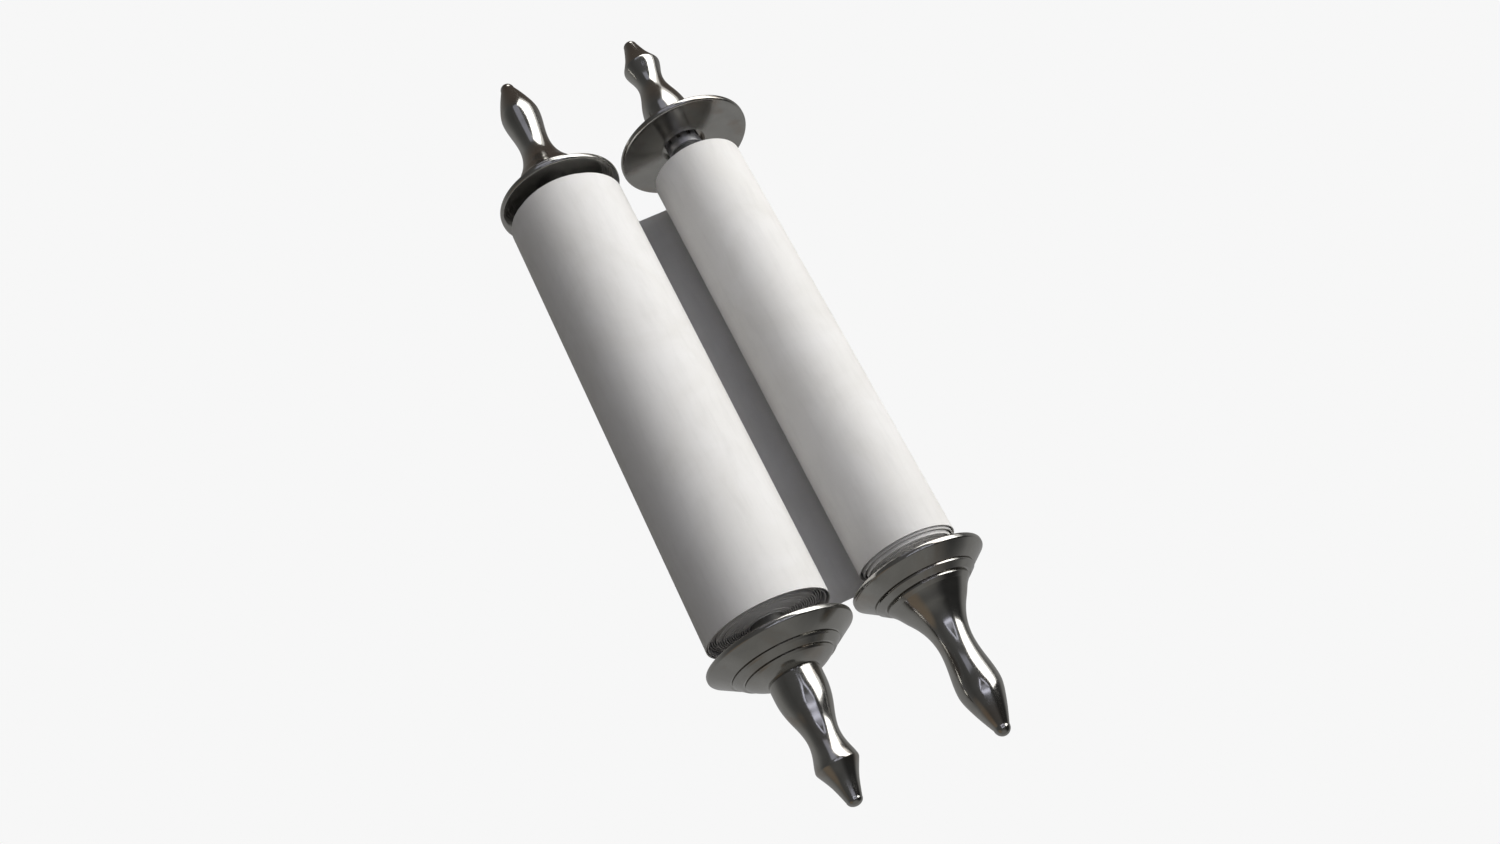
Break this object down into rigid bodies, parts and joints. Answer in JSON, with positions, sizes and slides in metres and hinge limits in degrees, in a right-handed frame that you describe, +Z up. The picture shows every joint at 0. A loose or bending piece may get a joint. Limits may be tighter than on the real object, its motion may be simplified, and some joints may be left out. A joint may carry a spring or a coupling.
{
  "type": "double-roller parchment scroll",
  "caption": "Parchment scroll wound on two parallel turned metal rollers with flanged discs and turned handles, open by one narrow strip of sheet.",
  "frame": {"origin": "centre of the footprint, on the surface that the discs stand on", "axes": "+Y along the rollers, +X from the left roller (thicker roll) to the right one, +Z up, on the text side of the open sheet"},
  "size_m": [0.2504, 0.748, 0.1244],
  "materials": {
    "dark_metal": "dark smoky polished plating, turned",
    "hub_metal": "satin turned steel",
    "inner_metal": "plain machined steel",
    "parchment": "smooth off-white parchment with faint mottling"
  },
  "bodies": {
    "open_sheet": {"open_sheet_left": "parchment", "open_sheet_right": "parchment"},
    "left_carriage": {"left_outer_turn": "parchment"},
    "left_roller": {"left_core_tube": "inner_metal", "left_tie_rod": "inner_metal", "left_clamp_strip": "inner_metal", "left_clamp_screws": "inner_metal", "left_winding": "parchment", "left_hub_ring_a": "hub_metal", "left_hub_ring_b": "hub_metal", "left_disc_a": "dark_metal", "left_disc_b": "dark_metal", "left_large_ring_a": "dark_metal", "left_small_ring_a": "dark_metal", "left_large_ring_b": "dark_metal", "left_small_ring_b": "dark_metal", "left_handle_a": "dark_metal", "left_handle_b": "dark_metal"},
    "right_carriage": {"right_outer_turn": "parchment"},
    "right_roller": {"right_core_tube": "inner_metal", "right_tie_rod": "inner_metal", "right_clamp_strip": "inner_metal", "right_clamp_screws": "inner_metal", "right_winding": "parchment", "right_hub_ring_a": "hub_metal", "right_hub_ring_b": "hub_metal", "right_disc_a": "dark_metal", "right_disc_b": "dark_metal", "right_large_ring_a": "dark_metal", "right_small_ring_a": "dark_metal", "right_large_ring_b": "dark_metal", "right_small_ring_b": "dark_metal", "right_handle_a": "dark_metal", "right_handle_b": "dark_metal"}
  },
  "joints": [
    {"name": "left_roll_out", "type": "slide", "parent": "open_sheet", "child": "left_carriage", "axis": [-1, 0, 0], "range_m": [-0.003, 0.2], "deforming": ["open_sheet_left"]},
    {"name": "left_spin", "type": "hinge", "parent": "left_carriage", "child": "left_roller", "pos_m": [-0.063, 0, 0.0622], "axis": [0, -1, 0], "range_deg": [-4, 216]},
    {"name": "right_roll_out", "type": "slide", "parent": "open_sheet", "child": "right_carriage", "axis": [1, 0, 0], "range_m": [-0.003, 0.2], "deforming": ["open_sheet_right"]},
    {"name": "right_spin", "type": "hinge", "parent": "right_carriage", "child": "right_roller", "pos_m": [0.063, 0, 0.0622], "axis": [0, 1, 0], "range_deg": [-5, 274]}
  ],
  "couplings": [
    {"joint": "left_spin", "follows": "left_roll_out", "rad_per_m": 18.692},
    {"joint": "right_spin", "follows": "right_roll_out", "rad_per_m": 23.753}
  ]
}
